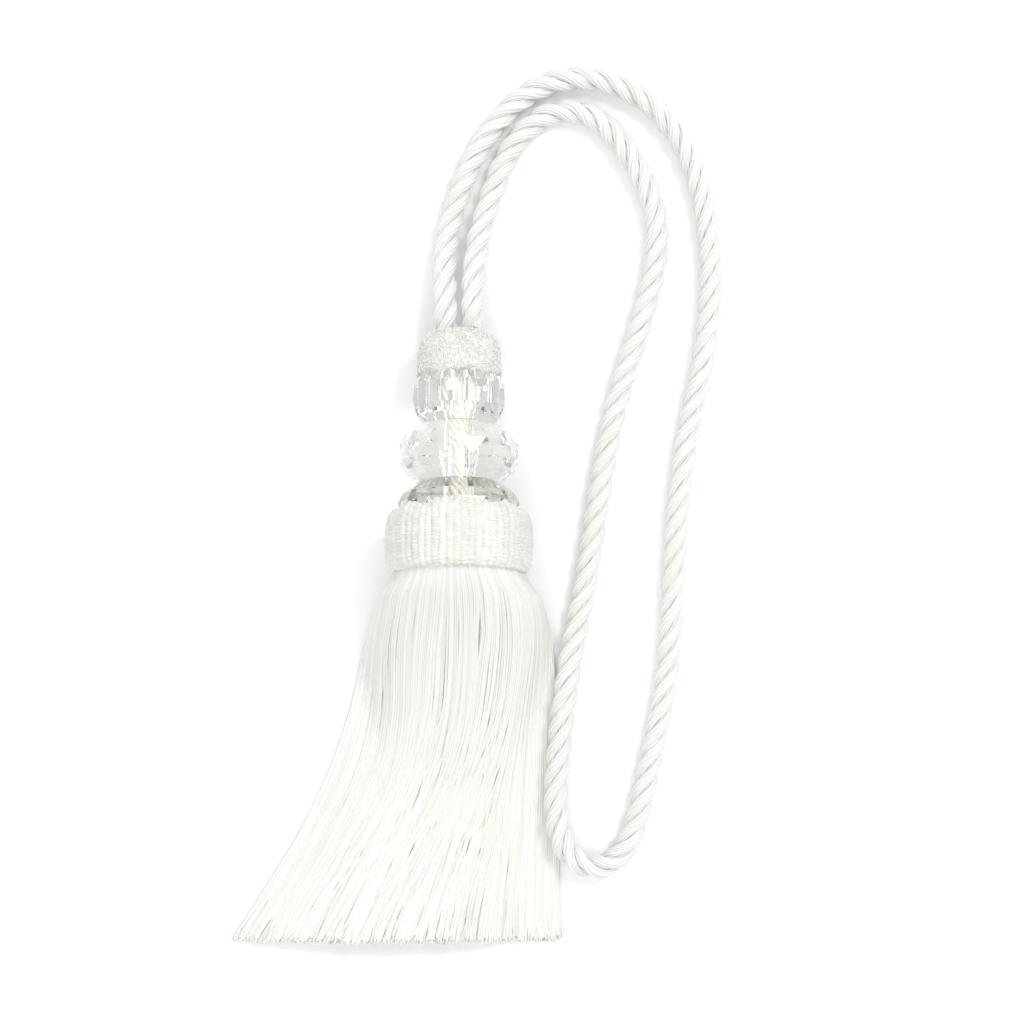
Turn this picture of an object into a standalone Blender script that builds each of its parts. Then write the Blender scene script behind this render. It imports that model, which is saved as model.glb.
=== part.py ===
"""Curtain tieback tassel laid out on a table: a twisted cord loop, a looped collar,
three clear faceted beads on a cotton core, a gimp ruff and a cut yarn skirt.

Sizes are in millimetres and become metres where the meshes are made. The origin is the
flat resting spot under the ruff, +Y runs along the head towards the collar, +Z is up.
"""
import math
import random

import bmesh
import bpy
import numpy as np
from mathutils import Matrix, Vector

MM = 0.001
GAP = 0.3                  # between neighbouring pieces

# Head: the axis slopes down towards the collar, so ruff, beads and collar all lie down.
HEAD_HEIGHT = 22.2         # axis above the table at the ruff
HEAD_TILT = math.radians(8.3)

# Core and beads, with places along the head's axis.
CORE_RADIUS = 3.2
CORE_SIDES = 12
BORE_RADIUS = CORE_RADIUS + 0.4   # its flat sides clear the core by the gap
RONDELLE_SIDES = 14
RONDELLE_RADIUS = 18.7
RONDELLE_HALF = 9.0
LOW_BEAD_CENTRE = 8.0
LOW_BEAD_SCALE = 1.02
MID_BEAD_CENTRE = LOW_BEAD_CENTRE + RONDELLE_HALF * (1 + LOW_BEAD_SCALE) + GAP
TOP_BEAD_SIDES = 18
TOP_BEAD_START = MID_BEAD_CENTRE + RONDELLE_HALF + GAP
TOP_BEAD_LENGTH = 16.8
COLLAR_START = TOP_BEAD_START + TOP_BEAD_LENGTH + GAP
COLLAR_LENGTH = 12.0
COLLAR_SIDES = 32
COLLAR_TOP = COLLAR_START + COLLAR_LENGTH

# Ruff: a ring of wrapped gimp columns round the lowest bead.
RUFF_COLUMNS = 58
RUFF_BORE = 19.5
RUFF_PRESS = 0.5           # yarn this near to the table is pressed flat on it

# Skirt: two rings of locks, one inside the other, hanging from a backing disc.
LOCKS_PER_RING = 56
LOCK_FILL = 0.84           # share of its cell that a lock takes up at its root
BACKING_RADIUS = 19.1
BACKING_HEART = 0.12       # depth of the plain middle of the backing
BACKING_SPLIT = 0.56       # depth of the border between the two rings
BACKING_TOP = LOW_BEAD_CENTRE - RONDELLE_HALF * LOW_BEAD_SCALE - GAP
SKIRT_ROOT = -6.0
SKIRT_END = -127.5
SKIRT_MID_THICK = 8.6
SKIRT_EDGE_THICK = 2.0
RIGHT_BULK = (0.84, 0.50)  # spread where the thin right edge begins, and the swell's width
LEFT_BULK = (1.0, 0.55)    # the same at the left edge
SKIRT_RAGGED = 0.022       # the longest shortfall of a lock, as a share of the skirt
HEART_PULL = 0.93          # inner yarns' share of the width when laid flat
SIDE_SETTLE = 0.30         # share of the skirt after which yarns at the sides lie flat
TOP_SETTLE = 0.80          # the same for the yarns on top
UPRIGHT_RUN = 0.4          # share of the skirt over which its sections turn upright
CLUMPS = 11                # clumps of yarn in each half turn
CLUMP_PULL = 0.033         # how far yarns lean into a clump, in radians
CLUMP_DRIFT = 1.5          # unevenness of the clumps
LOCK_DEPTHS = ((0.60, 1.0), (0.16, 0.52))   # inner and outer side of each ring's locks
LOCK_FILLS = (0.72, 0.92)  # thinnest and thickest lock at its cut end
LOCK_STATIONS = (0.0, 0.04, 0.12, 0.21, 0.34, 0.56, 0.80)
LOCK_LEADS = (-1, -1, 1, 1)   # splits of a lock's four sides, so that neighbours twist alike
SEED = 11

# Cord: three strands in a right-hand lay.
CORD_RADIUS = 3.9
CORD_LEAD = 19.0
CORD_STEPS_PER_LEAD = 8
CORD_GROOVE = 0.68         # groove radius as a share of the cord's radius
CORD_SHOULDER = math.radians(23)
STRANDS = 3

# A rondelle's rings from low to high: place and radius as shares of its half length
# and radius, and the turn in facets.
RONDELLE_ROWS = (
    # place, radius, turn
    (-1.00, 0.700, 0.0),
    (-0.66, 0.905, 0.0),
    (-0.24, 1.000, 0.5),
    (0.24, 1.000, 0.0),
    (0.66, 0.905, 0.5),
    (1.00, 0.700, 0.5),
)

# The fluted bead's rings: place along its length and radius.
TOP_BEAD_ROWS = (
    # place, radius
    (0.0, 11.9),
    (3.6, 14.0),
    (12.2, 14.2),
    (TOP_BEAD_LENGTH, 12.0),
)

# The collar's rings, from the bead to the cord.
COLLAR_ROWS = (
    # place, radius
    (0.0, 12.0),
    (1.2, 13.2),
    (5.5, 13.4),
    (9.2, 12.7),
    (11.3, 10.9),
    (COLLAR_LENGTH, 9.0),
)

# The ruff's rings, outside from low to high: the columns' crests and the grooves.
RUFF_ROWS = (
    # crest place, crest radius, groove place, groove radius
    (-10.0, 20.7, -10.0, 20.3),
    (-8.4, 22.3, -8.4, 21.5),
    (-4.0, 23.0, -4.0, 22.2),
    (1.5, 23.0, 1.5, 22.2),
    (6.0, 22.2, 5.6, 21.4),
    (9.0, 20.9, 8.0, 20.5),
    (9.6, 20.0, 8.6, 19.9),
)

# The skirt's silhouette from above, and how its round bundle sinks onto the table.
FAN_ROWS = (
    # y, left x, right x, upright radius, height of the underside
    (-6.0, -18.6, 18.6, 18.4, 4.6),
    (-11.0, -18.9, 18.9, 18.3, 5.4),
    (-14.5, -22.6, 22.8, 18.0, 4.6),
    (-21.0, -26.2, 26.8, 17.2, 3.0),
    (-32.0, -30.2, 29.8, 15.8, 1.0),
    (-48.0, -33.8, 31.0, 13.8, 0.0),
    (-61.0, -37.1, 31.6, 12.2, 0.0),
    (-72.0, -40.6, 31.8, 11.0, 0.0),
    (-84.0, -46.2, 31.9, 10.0, 0.0),
    (-97.0, -53.4, 32.0, 9.0, 0.0),
    (-109.0, -60.8, 32.1, 8.4, 0.0),
    (-118.5, -67.0, 32.4, 8.0, 0.0),
    (SKIRT_END, -73.0, 33.0, 8.0, 0.0),
)

# The cord's centreline, from the collar round the outer run and the bight, and back.
CORD_ROUTE = (
    (-4.15, 64.9, 12.4),
    (-4.6, 77.0, 10.4),
    (-4.6, 90.0, 6.4),
    (-2.6, 102.0, 4.1),
    (1.6, 115.0, 3.9),
    (8.6, 128.0, 3.9),
    (17.6, 138.2, 3.9),
    (28.6, 144.6, 3.9),
    (40.0, 146.2, 3.9),
    (53.5, 142.4, 3.9),
    (66.2, 132.5, 3.9),
    (74.5, 117.6, 3.9),
    (79.0, 97.8, 3.9),
    (79.6, 75.6, 3.9),
    (76.4, 51.7, 3.9),
    (71.6, 27.8, 3.9),
    (67.8, -14.0, 3.9),
    (64.8, -50.0, 3.9),
    (61.6, -66.0, 3.9),
    (58.2, -81.5, 4.0),
    (55.0, -93.2, 4.4),
    (50.4, -101.3, 4.9),
    (43.0, -104.6, 5.5),
    (35.4, -101.3, 6.0),
    (31.3, -92.6, 6.4),
    (30.9, -74.0, 6.4),
    (32.8, -54.8, 6.2),
    (35.7, -36.4, 4.8),
    (39.4, -16.7, 3.9),
    (50.1, 43.7, 3.9),
    (59.6, 76.0, 3.9),
    (62.7, 94.7, 3.9),
    (59.9, 110.4, 3.9),
    (52.6, 123.4, 3.9),
    (42.7, 133.4, 3.9),
    (31.2, 135.4, 3.9),
    (19.8, 128.2, 3.9),
    (10.3, 109.4, 4.0),
    (5.3, 90.0, 6.6),
    (4.15, 64.9, 12.4),
)

HEAD = Matrix.Translation((0, 0, HEAD_HEIGHT)) @ Matrix.Rotation(-HEAD_TILT, 4, "X")


def clear_scene():
    for item in list(bpy.data.objects):
        bpy.data.objects.remove(item, do_unlink=True)


def make_material(name, colour, roughness, transmission=0.0):
    material = bpy.data.materials.new(name)
    material.use_nodes = True
    shader = material.node_tree.nodes["Principled BSDF"]
    shader.inputs["Base Color"].default_value = (*colour, 1)
    shader.inputs["Roughness"].default_value = roughness
    shader.inputs["Metallic"].default_value = 0.0
    shader.inputs["Transmission Weight"].default_value = transmission
    material.diffuse_color = (*colour, 1)
    return material


def add_solid(name, points, faces, material, crease=None):
    """Make one closed mesh from points in millimetres, smooth but for edges past crease."""
    mesh = bpy.data.meshes.new(name)
    mesh.from_pydata([Vector(point) * MM for point in points], [], faces)
    shell = bmesh.new()
    shell.from_mesh(mesh)
    bmesh.ops.recalc_face_normals(shell, faces=shell.faces)
    shell.to_mesh(mesh)
    shell.free()
    if crease is not None:
        mesh.shade_smooth()
        mesh.set_sharp_from_angle(angle=crease)
    mesh.materials.append(material)
    item = bpy.data.objects.new(name, mesh)
    bpy.context.collection.objects.link(item)
    return item


def head_point(place, radius, angle):
    """A point of the head in the world, from its place along the axis."""
    return HEAD @ Vector((radius * math.cos(angle), place, radius * math.sin(angle)))


def head_ring(place, radius, sides, turn=0.0):
    """A ring round the head's axis, turned by a share of one side."""
    step = math.tau / sides
    start = -math.pi / 2 + step / 2     # a flat side faces the table
    return [head_point(place, radius, start + step * (k + turn)) for k in range(sides)]


def side_faces(low, low_next, high, high_next, lead):
    """One side between two rings: whole, or split the way that lead gives."""
    if lead > 0:
        return [(low, low_next, high), (high, low_next, high_next)]
    if lead < 0:
        return [(low, low_next, high_next), (low, high_next, high)]
    return [(low, low_next, high_next, high)]


def ring_faces(low, high, sides, leads=(0,)):
    """Faces between two rings of point numbers; leads are the turns of the sides' splits."""
    faces = []
    for k in range(sides):
        after = (k + 1) % sides
        faces += side_faces(low + k, low + after, high + k, high + after, leads[k % len(leads)])
    return faces


def bored_piece(name, rows, sides, material, crease):
    """A bead from rows of place, radius and turn, with the core's bore through it."""
    low, high = rows[0], rows[-1]
    loop = list(rows) + [(high[0], BORE_RADIUS, high[2]), (low[0], BORE_RADIUS, low[2])]
    points = []
    for place, radius, turn in loop:
        points += head_ring(place, radius, sides, turn)
    faces = []
    for k, row in enumerate(loop):
        following = (k + 1) % len(loop)
        lead = loop[following][2] - row[2]
        faces += ring_faces(k * sides, following * sides, sides, (lead,))
    return add_solid(name, points, faces, material, crease)


def rondelle_rows(centre, scale):
    rows = []
    for place, radius, turn in RONDELLE_ROWS:
        along = centre + place * RONDELLE_HALF * scale
        rows.append((along, radius * RONDELLE_RADIUS * scale, turn))
    return rows


def make_beads():
    clear = make_material("clear_acrylic", (0.96, 0.97, 0.97), 0.03, 1.0)
    low = rondelle_rows(LOW_BEAD_CENTRE, LOW_BEAD_SCALE)
    bored_piece("bead_low", low, RONDELLE_SIDES, clear, None)
    clear = make_material("clear_acrylic_mid", (0.96, 0.97, 0.97), 0.03, 1.0)
    mid = rondelle_rows(MID_BEAD_CENTRE, 1.0)
    bored_piece("bead_mid", mid, RONDELLE_SIDES, clear, None)
    clear = make_material("clear_acrylic_top", (0.96, 0.97, 0.97), 0.03, 1.0)
    top = [(TOP_BEAD_START + place, radius, 0.0) for place, radius in TOP_BEAD_ROWS]
    bored_piece("bead_top", top, TOP_BEAD_SIDES, clear, None)


def capped_rings(name, rings, material, crease):
    """A closed solid through rings of equal length, with a cap at each end."""
    sides = len(rings[0])
    points = [point for ring in rings for point in ring]
    faces = [tuple(range(sides)), tuple(range(len(points) - sides, len(points)))]
    for k in range(len(rings) - 1):
        faces += ring_faces(k * sides, (k + 1) * sides, sides)
    return add_solid(name, points, faces, material, crease)


def make_core():
    cotton = make_material("cotton_core", (0.86, 0.84, 0.74), 0.85)
    ends = (LOW_BEAD_CENTRE - RONDELLE_HALF * LOW_BEAD_SCALE, COLLAR_START - GAP)
    rings = [head_ring(place, CORE_RADIUS, CORE_SIDES) for place in ends]
    capped_rings("core", rings, cotton, math.radians(40))


def make_collar():
    gimp = make_material("looped_gimp", (0.93, 0.92, 0.88), 0.8)
    rings = [head_ring(COLLAR_START + place, radius, COLLAR_SIDES) for place, radius in COLLAR_ROWS]
    capped_rings("collar", rings, gimp, math.radians(50))


def ruff_ring(crest_place, crest_radius, groove_place, groove_radius):
    """Points round the ruff, crest and groove by turns, pressed flat on the table."""
    ring = []
    step = math.pi / RUFF_COLUMNS
    for k in range(2 * RUFF_COLUMNS):
        angle = -math.pi / 2 + k * step
        if k % 2 == 0:
            point = head_point(crest_place, crest_radius, angle)
        else:
            point = head_point(groove_place, groove_radius, angle)
        if point.z < RUFF_PRESS:
            point.z = 0.0
        ring.append(point)
    return ring


def make_ruff():
    gimp = make_material("wrapped_gimp", (0.93, 0.92, 0.89), 0.75)
    sides = 2 * RUFF_COLUMNS
    crest_top, _, groove_top, _ = RUFF_ROWS[-1]
    bottom = RUFF_ROWS[0][0]
    rows = list(RUFF_ROWS)
    rows.append((crest_top, RUFF_BORE, groove_top, RUFF_BORE))
    rows.append((bottom, RUFF_BORE, bottom, RUFF_BORE))
    points = []
    faces = []
    for k, row in enumerate(rows):
        points += ruff_ring(*row)
        following = (k + 1) % len(rows)
        faces += ring_faces(k * sides, following * sides, sides)
    add_solid("ruff", points, faces, gimp, math.radians(40))


def ease(share):
    share = min(max(share, 0.0), 1.0)
    return share * share * (3 - 2 * share)


def mix(first, second, share):
    return first + (second - first) * share


def fan_at(run):
    """The skirt's silhouette and bundle at a share of its length."""
    y = mix(SKIRT_ROOT, SKIRT_END, run)
    ys = [-row[0] for row in FAN_ROWS]
    columns = [[row[k] for row in FAN_ROWS] for k in range(1, 5)]
    left, right, radius, under = [float(np.interp(-y, ys, column)) for column in columns]
    return y, left, right, radius, under


def flat_thickness(spread):
    """Thickness of the skirt laid flat; spread is -1 at its left edge and 1 at its right."""
    edge, swell = RIGHT_BULK if spread > 0 else LEFT_BULK
    return mix(SKIRT_EDGE_THICK, SKIRT_MID_THICK, ease((edge - abs(spread)) / swell))


def clumped(angle, run):
    """Draw yarns together in clumps, most of all halfway down, without crossing any."""
    pull = CLUMP_PULL * ease(run * 3) * mix(1.0, 0.5, ease(run * 2 - 1))
    return angle + pull * math.sin(CLUMPS * angle + CLUMP_DRIFT * math.sin(2 * angle))


def skirt_point(depth, angle, run):
    """Where a yarn lies: depth 0 to 1 from heart to outside, angle from -pi to pi round
    the head from its right side, run 0 to 1 from root to cut end."""
    y, left, right, radius, under = fan_at(run)
    angle = clumped(angle, run)
    up = math.sin(angle)
    spread = 1 - 2 * abs(angle) / math.pi
    middle = (left + right) / 2
    half = (right - left) / 2
    settle = ease(run / mix(SIDE_SETTLE, TOP_SETTLE, max(up, 0.0)))
    round_x = middle + half * depth * math.cos(angle)
    round_z = under + radius + radius * depth * up
    flat_x = middle + half * mix(HEART_PULL, 1.0, depth) * spread
    flat_z = flat_thickness(spread) * (0.5 + math.copysign(0.5 * depth, angle))
    z = mix(round_z, flat_z, settle)
    lean = math.sin(HEAD_TILT) * (1 - ease(run / UPRIGHT_RUN))
    return Vector((mix(round_x, flat_x, settle), y + radius * depth * up * lean, z))


def lock_points(ring, cell, end, fill):
    """The four corners of a lock at each station from its root to its cut end."""
    inner, outer = LOCK_DEPTHS[ring]
    step = math.tau / LOCKS_PER_RING
    middle = -math.pi + step * (cell + 0.5)
    points = []
    for run in (*LOCK_STATIONS, end):
        half = step / 2 * mix(LOCK_FILL, fill, ease(run * 2))
        low, high = middle - half, middle + half
        for depth, angle in ((inner, low), (outer, low), (outer, high), (inner, high)):
            points.append(skirt_point(depth, angle, run))
    return points


def backing_ring(radius_share, lift=0.0):
    """A ring of the backing's points on the cells' borders, in the roots' plane."""
    step = math.tau / LOCKS_PER_RING
    ring = []
    for k in range(LOCKS_PER_RING):
        point = skirt_point(radius_share, -math.pi + step * k + 1e-9, 0.0)
        ring.append(point + lift * Vector((0, math.cos(HEAD_TILT), -math.sin(HEAD_TILT))))
    return ring


def make_skirt():
    yarn = make_material("rayon_yarn", (0.93, 0.93, 0.90), 0.6)
    chance = random.Random(SEED)
    count = LOCKS_PER_RING
    rim = BACKING_RADIUS / FAN_ROWS[0][2]
    thickness = BACKING_TOP - SKIRT_ROOT
    rings = [backing_ring(share) for share in (rim, BACKING_SPLIT, BACKING_HEART)]
    rings.append(backing_ring(rim, thickness))
    points = [point for ring in rings for point in ring]
    faces = ring_faces(0, 3 * count, count)                 # rim
    faces.append(tuple(range(2 * count, 3 * count)))        # plain heart
    faces.append(tuple(range(3 * count, 4 * count)))        # top
    for ring in range(2):
        for cell in range(count):
            end = 1 - SKIRT_RAGGED * chance.random()
            lock = lock_points(ring, cell, end, chance.uniform(*LOCK_FILLS))
            first = len(points)
            points += lock
            after = (cell + 1) % count
            outside, inside = ring * count, (ring + 1) * count
            border = (inside + cell, outside + cell, outside + after, inside + after)
            for k in range(4):
                onward = (k + 1) % 4
                faces.append((border[k], border[onward], first + onward, first + k))
            for start in range(first, len(points) - 4, 4):
                faces += ring_faces(start, start + 4, 4, LOCK_LEADS)
            faces.append(tuple(range(len(points) - 4, len(points))))
    add_solid("skirt", points, faces, yarn, math.radians(50))


def spline_bend(knots, points):
    """Second derivatives of the natural cubic spline through the points."""
    count = len(points)
    spans = np.diff(knots)
    matrix = np.eye(count)
    target = np.zeros_like(points)
    for k in range(1, count - 1):
        matrix[k, k - 1:k + 2] = (spans[k - 1], 2 * (spans[k - 1] + spans[k]), spans[k])
        onward = (points[k + 1] - points[k]) / spans[k]
        inward = (points[k] - points[k - 1]) / spans[k - 1]
        target[k] = 6 * (onward - inward)
    return np.linalg.solve(matrix, target)


def smooth_route(route, spacing):
    """Even steps along a smooth curve through the route's points."""
    points = np.array(route)
    knots = np.concatenate([[0], np.cumsum(np.linalg.norm(np.diff(points, axis=0), axis=1))])
    bend = spline_bend(knots, points)
    fine = np.linspace(0, knots[-1], 4000)
    k = np.clip(np.searchsorted(knots, fine, side="right") - 1, 0, len(points) - 2)
    span = (knots[k + 1] - knots[k])[:, None]
    back = (knots[k + 1] - fine)[:, None]
    ahead = (fine - knots[k])[:, None]
    curve = (bend[k] * back**3 + bend[k + 1] * ahead**3) / (6 * span)
    curve += (points[k] / span - bend[k] * span / 6) * back
    curve += (points[k + 1] / span - bend[k + 1] * span / 6) * ahead
    curve[:, 2] = np.maximum(curve[:, 2], CORD_RADIUS)
    travel = np.concatenate([[0], np.cumsum(np.linalg.norm(np.diff(curve, axis=0), axis=1))])
    steps = round(travel[-1] / spacing)
    even = np.linspace(0, travel[-1], steps + 1)
    return [Vector([np.interp(at, travel, curve[:, k]) for k in range(3)]) for at in even]


def strand_section():
    """Angle and radius of the cord's outline: two shoulders and a groove for each strand."""
    section = []
    for strand in range(STRANDS):
        crest = math.tau * strand / STRANDS
        section.append((crest - CORD_SHOULDER, CORD_RADIUS))
        section.append((crest + CORD_SHOULDER, CORD_RADIUS))
        section.append((crest + math.pi / STRANDS, CORD_RADIUS * CORD_GROOVE))
    return section


def make_cord():
    rayon = make_material("twisted_rayon", (0.93, 0.93, 0.91), 0.5)
    route = smooth_route(CORD_ROUTE, CORD_LEAD / CORD_STEPS_PER_LEAD)
    twist_step = math.tau / CORD_STEPS_PER_LEAD
    side = Vector((1, 0, 0))
    rings = []
    for k, centre in enumerate(route):
        before, after = route[max(k - 1, 0)], route[min(k + 1, len(route) - 1)]
        along = (after - before).normalized()
        side = (side - side.dot(along) * along).normalized()
        across = along.cross(side)
        ring = []
        for angle, radius in strand_section():
            turned = angle + k * twist_step
            ring.append(centre + radius * (math.cos(turned) * side + math.sin(turned) * across))
        rings.append(ring)
    capped_rings("rope", rings, rayon, math.radians(70))


def main():
    clear_scene()
    make_cord()
    make_collar()
    make_core()
    make_beads()
    make_ruff()
    make_skirt()


main()
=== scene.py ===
import math
import random

import bpy
import numpy as np
from mathutils import Matrix, Vector


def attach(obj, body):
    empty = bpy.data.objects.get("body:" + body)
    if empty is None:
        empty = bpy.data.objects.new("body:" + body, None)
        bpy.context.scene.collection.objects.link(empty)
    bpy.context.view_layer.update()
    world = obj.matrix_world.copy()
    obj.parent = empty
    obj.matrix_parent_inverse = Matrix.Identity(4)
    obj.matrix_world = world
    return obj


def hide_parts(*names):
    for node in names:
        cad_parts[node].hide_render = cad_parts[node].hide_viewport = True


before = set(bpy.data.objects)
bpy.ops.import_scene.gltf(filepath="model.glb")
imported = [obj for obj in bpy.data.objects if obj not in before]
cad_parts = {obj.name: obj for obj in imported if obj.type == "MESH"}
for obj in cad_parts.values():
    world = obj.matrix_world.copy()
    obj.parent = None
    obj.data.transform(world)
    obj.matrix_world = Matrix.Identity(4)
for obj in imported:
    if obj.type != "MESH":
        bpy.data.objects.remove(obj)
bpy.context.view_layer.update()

# Curtain tieback tassel, laid out on a pale table. Sizes are in millimetres.
mm = 0.001


def hexColour(text):
    parts = [int(text[k:k + 2], 16) / 255 for k in (1, 3, 5)]
    return (*[p / 12.92 if p <= 0.04045 else ((p + 0.055) / 1.055) ** 2.4 for p in parts], 1)


def addNode(tree, kind, links=None, **settings):  # links: socket name or number to a value or socket
    node = tree.nodes.new(kind)
    for name, value in settings.items():
        setattr(node, name, value)
    for key, value in (links or {}).items():
        if isinstance(value, bpy.types.NodeSocket):
            tree.links.new(value, node.inputs[key])
        else:
            node.inputs[key].default_value = value
    return node


def mix(first, second, share):
    return first + (second - first) * share


def ease(share):
    share = np.clip(share, 0.0, 1.0)
    return share * share * (3 - 2 * share)


def splineThrough(knots, values):  # the natural cubic spline through rows of values, as a function
    knots = np.asarray(knots, float)
    values = np.asarray(values, float)
    count = len(knots)
    spans = np.diff(knots)
    matrix = np.eye(count)
    target = np.zeros_like(values)
    for k in range(1, count - 1):
        matrix[k, k - 1:k + 2] = (spans[k - 1], 2 * (spans[k - 1] + spans[k]), spans[k])
        onward = (values[k + 1] - values[k]) / spans[k]
        inward = (values[k] - values[k - 1]) / spans[k - 1]
        target[k] = 6 * (onward - inward)
    bend = np.linalg.solve(matrix, target)

    def at(places):
        places = np.clip(np.asarray(places, float), knots[0], knots[-1])
        k = np.clip(np.searchsorted(knots, places, side="right") - 1, 0, count - 2)
        span = (knots[k + 1] - knots[k])[..., None]
        back = (knots[k + 1] - places)[..., None]
        ahead = (places - knots[k])[..., None]
        curve = (bend[k] * back**3 + bend[k + 1] * ahead**3) / (6 * span)
        curve += (values[k] / span - bend[k] * span / 6) * back
        return curve + (values[k + 1] / span - bend[k + 1] * span / 6) * ahead

    return at


def pathMesh(name, paths, girths=None, tones=None):  # lines for a sweep: paths of points in mm
    points = [point for path in paths for point in path]
    edges = []
    start = 0
    for path in paths:
        edges += [(start + k, start + k + 1) for k in range(len(path) - 1)]
        start += len(path)
    mesh = bpy.data.meshes.new(name)
    mesh.from_pydata([[value * mm for value in point] for point in points], edges, [])
    for label, rows in (("girth", girths), ("tone", tones)):
        attribute = mesh.attributes.new(label, "FLOAT", "POINT")
        flat = np.ones(len(points))
        if rows is not None:
            flat = np.concatenate([np.asarray(row, float) for row in rows])
        attribute.data.foreach_set("value", flat.astype(np.float32))
    item = bpy.data.objects.new(name, mesh)
    bpy.context.collection.objects.link(item)
    return item


def startTree(name, inputs):  # a Geometry Nodes tree with named inputs: name, socket kind, first value
    tree = bpy.data.node_groups.new(name, "GeometryNodeTree")
    tree.interface.new_socket("Geometry", in_out="INPUT", socket_type="NodeSocketGeometry")
    tree.interface.new_socket("Geometry", in_out="OUTPUT", socket_type="NodeSocketGeometry")
    for label, kind, value in inputs:
        socket = tree.interface.new_socket(label, in_out="INPUT", socket_type=kind)
        if value is not None:
            socket.default_value = value
    given = addNode(tree, "NodeGroupInput")
    return tree, given.outputs


def endTree(tree, geometry, material):  # every tree ends in real geometry with its material
    real = addNode(tree, "GeometryNodeRealizeInstances", {"Geometry": geometry})
    smooth = addNode(tree, "GeometryNodeSetShadeSmooth", {"Geometry": real.outputs[0]})
    painted = addNode(tree, "GeometryNodeSetMaterial", {
        "Geometry": smooth.outputs[0], "Material": material})
    addNode(tree, "NodeGroupOutput", {0: painted.outputs[0]})


def grow(name, guide, tree, values):  # run the tree on the guide and keep the result as a plain mesh
    modifier = guide.modifiers.new(tree.name, "NODES")
    modifier.node_group = tree
    for socket in tree.interface.items_tree:
        if socket.item_type == "SOCKET" and socket.in_out == "INPUT" and socket.name in values:
            modifier[socket.identifier] = values[socket.name]
    graph = bpy.context.evaluated_depsgraph_get()
    mesh = bpy.data.meshes.new_from_object(guide.evaluated_get(graph), depsgraph=graph)
    guide.modifiers.remove(modifier)
    bpy.data.objects.remove(guide, do_unlink=True)
    mesh.name = name
    piece = bpy.data.objects.new(name, mesh)
    bpy.context.collection.objects.link(piece)
    for label in ("girth", "outward"):
        if label in mesh.attributes:
            mesh.attributes.remove(mesh.attributes[label])
    print(name, "has", len(mesh.polygons), "faces")
    return piece


def restOnTable(piece):  # nothing reaches below the table
    points = np.empty(len(piece.data.vertices) * 3, np.float32)
    piece.data.vertices.foreach_get("co", points)
    points[2::3] = np.maximum(points[2::3], 0.0)
    piece.data.vertices.foreach_set("co", points)
    piece.data.update()


def hangOn(piece, slot, *nodes):  # every piece hangs on the root and hides the parts of model.glb it stands for
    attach(piece, "root")
    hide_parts(*nodes)


# camera, table and light
view = {
    "height": 900.0,         # camera above the table
    "aimX": 16.6,
    "aimY": 8.1,
    "frame": 1024,           # pixels across
    "focal": 2816,           # pixels
    "sensor": 36.0,
}
light = {
    "tableSize": 6000.0,
    "tableColour": "#FFFFFF",
    "tableRoughness": 0.9,
    "tableGloss": 0.1,
    "skyTop": "#FFFFFF",
    "skySide": "#E2E4E8",
    "skyLow": 0.15,          # sine of the height where skySide ends, and where skyTop begins
    "skyHigh": 0.6,
    "skyStrength": 0.74,
    "keyPower": 10.0,
    "keySize": (450.0, 450.0),
    "keyPlace": (800.0, 790.0, 1500.0),      # its image fills one facet of the middle bead
    "stripPower": 4.0,
    "stripSize": (1800.0, 240.0),
    "stripPlace": (0.0, 1600.0, 620.0),      # low and wide, for a glint on each bead
    "fillPower": 10.0,
    "fillSize": (1600.0, 1600.0),
    "fillPlace": (-350.0, -600.0, 1600.0),
}


def makeCamera():
    data = bpy.data.cameras.new("camera")
    data.sensor_width = view["sensor"]
    data.lens = view["focal"] / view["frame"] * view["sensor"]
    camera = bpy.data.objects.new("camera", data)
    camera.location = Vector((view["aimX"], view["aimY"], view["height"])) * mm
    bpy.context.collection.objects.link(camera)
    bpy.context.scene.camera = camera


def makeTable():
    half = light["tableSize"] / 2 * mm
    corners = [(-half, -half, 0), (half, -half, 0), (half, half, 0), (-half, half, 0)]
    mesh = bpy.data.meshes.new("table")
    mesh.from_pydata(corners, [], [(0, 1, 2, 3)])
    table = bpy.data.objects.new("table", mesh)
    bpy.context.collection.objects.link(table)
    paint = bpy.data.materials.new("mattWhiteCard")  # plain card: no gloss, soft shadows only
    paint.use_nodes = True
    shader = paint.node_tree.nodes["Principled BSDF"]
    shader.inputs["Base Color"].default_value = hexColour(light["tableColour"])
    shader.inputs["Roughness"].default_value = light["tableRoughness"]
    shader.inputs["Specular IOR Level"].default_value = light["tableGloss"]
    mesh.materials.append(paint)


def makeLamp(name):
    place = light[name + "Place"]
    data = bpy.data.lights.new(name, "AREA")
    data.shape = "RECTANGLE"
    data.size = light[name + "Size"][0] * mm
    data.size_y = light[name + "Size"][1] * mm
    data.energy = light[name + "Power"]
    lamp = bpy.data.objects.new(name, data)
    lamp.location = Vector(place) * mm
    lamp.rotation_euler = (-Vector(place)).to_track_quat("-Z", "Y").to_euler()
    bpy.context.collection.objects.link(lamp)


def makeSky():  # white overhead, greyer near the horizon, so that clear beads have edges to bend
    world = bpy.data.worlds.new("studio")
    bpy.context.scene.world = world
    world.use_nodes = True
    tree = world.node_tree
    tree.nodes.clear()
    place = addNode(tree, "ShaderNodeTexCoord")
    axes = addNode(tree, "ShaderNodeSeparateXYZ", {0: place.outputs["Generated"]})
    ramp = addNode(tree, "ShaderNodeValToRGB", {0: axes.outputs["Z"]})
    ramp.color_ramp.elements[0].color = hexColour(light["skySide"])
    ramp.color_ramp.elements[0].position = light["skyLow"]
    ramp.color_ramp.elements[1].color = hexColour(light["skyTop"])
    ramp.color_ramp.elements[1].position = light["skyHigh"]
    sky = addNode(tree, "ShaderNodeBackground", {
        "Color": ramp.outputs[0], "Strength": light["skyStrength"]})
    addNode(tree, "ShaderNodeOutputWorld", {0: sky.outputs[0]})


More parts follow.
